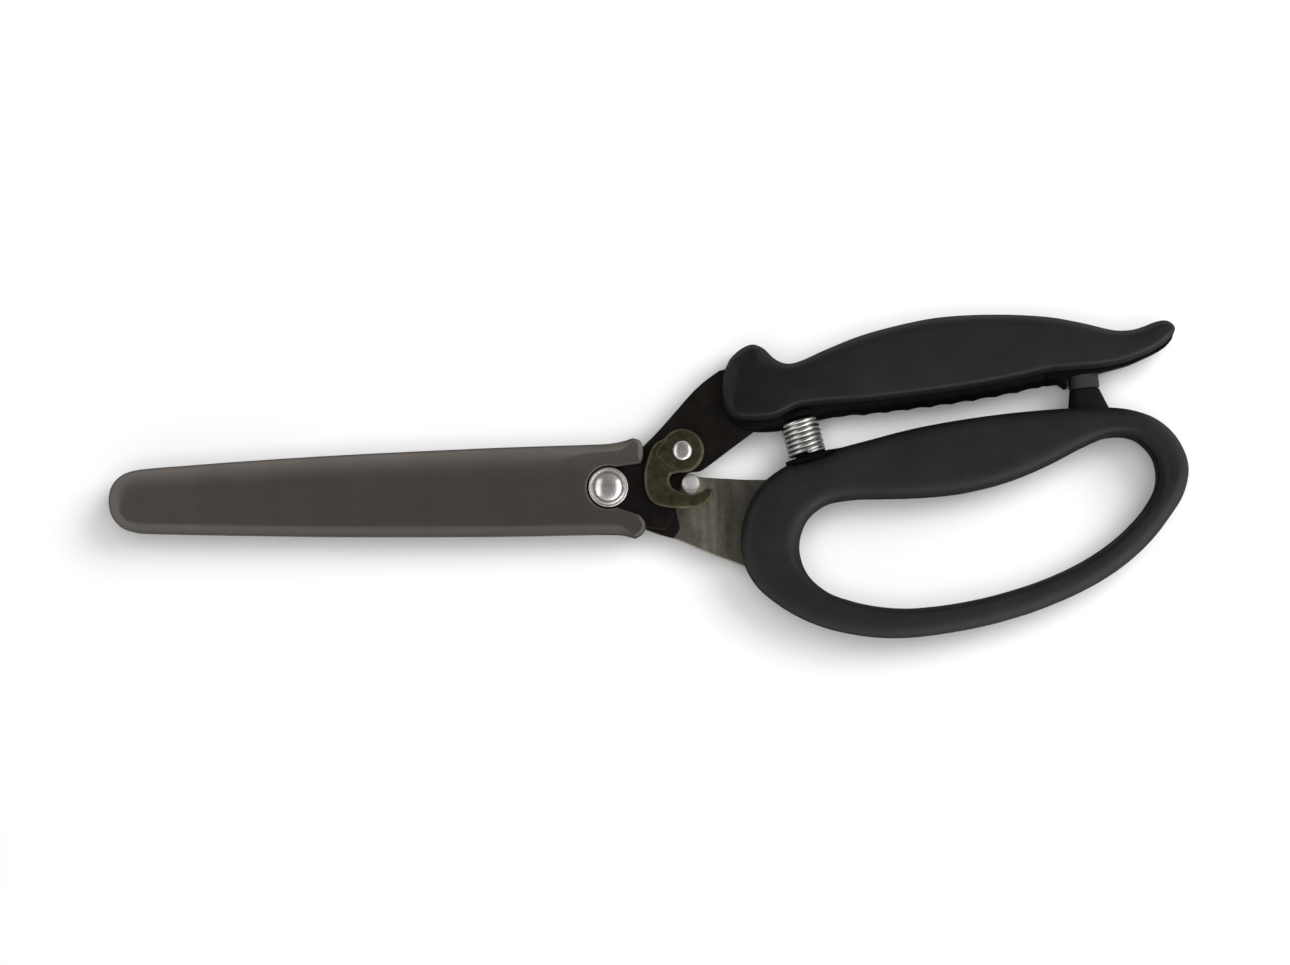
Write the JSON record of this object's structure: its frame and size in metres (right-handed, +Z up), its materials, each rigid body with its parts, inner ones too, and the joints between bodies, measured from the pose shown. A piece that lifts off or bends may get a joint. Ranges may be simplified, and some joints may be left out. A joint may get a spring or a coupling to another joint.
{
  "type": "poultry shears",
  "caption": "Shears with a bar handle, a closed finger loop, a return spring between the handles, a pivoting handle latch and a slide-off blade guard.",
  "frame": {"origin": "under the middle of the object, on the surface it lies on", "axes": "+X from the blade tips to the handles, along the blades; +Y towards the bar handle's back; +Z up, out of the face with the latch"},
  "size_m": [0.2698, 0.0802, 0.0154],
  "materials": {
    "black_steel": "satin black coating",
    "satin_steel": "dark satin",
    "bright_steel": "bright polished",
    "spring_steel": "bright plated wire",
    "olive_steel": "dark olive burnished",
    "hard_black": "fine matte",
    "soft_black": "soft-touch matte",
    "stop_rubber": "matte",
    "guard_plastic": "warm grey matte"
  },
  "bodies": {
    "upper_lever": {"front_blade": "black_steel", "pivot_screw": "bright_steel", "pivot_ring": "bright_steel", "pivot_washer": "bright_steel", "pivot_nut": "bright_steel", "latch_rivet": "bright_steel", "latch_spacer": "black_steel", "return_spring": "spring_steel", "upper_spring_cup": "hard_black", "upper_grip_core": "hard_black", "upper_grip_front": "soft_black", "upper_grip_back": "soft_black", "upper_bumper": "stop_rubber", "upper_tang_rivet_1": "bright_steel", "upper_tang_rivet_2": "bright_steel"},
    "lower_lever": {"back_blade": "satin_steel", "catch_pin": "bright_steel", "lower_spring_cup": "hard_black", "loop_core": "hard_black", "loop_grip_front": "soft_black", "loop_grip_back": "soft_black", "closing_stop": "hard_black", "lower_tang_rivet_1": "bright_steel", "lower_tang_rivet_2": "bright_steel"},
    "latch": {"latch_hook": "olive_steel"},
    "guard": {"blade_guard": "guard_plastic"}
  },
  "joints": [
    {"name": "handle_hinge", "type": "hinge", "parent": "upper_lever", "child": "lower_lever", "pos_m": [-0.0098, -0.001, 0.0075], "axis": [0, 0, -1], "range_deg": [0, 30], "deforming": ["return_spring"]},
    {"name": "latch_turn", "type": "hinge", "parent": "upper_lever", "child": "latch", "pos_m": [0.0089, 0.0076, 0.013], "axis": [0, 0, -1], "range_deg": [0, 40]},
    {"name": "guard_slide", "type": "slide", "parent": "upper_lever", "child": "guard", "axis": [-1, 0, 0], "range_m": [0, 0.13]}
  ]
}
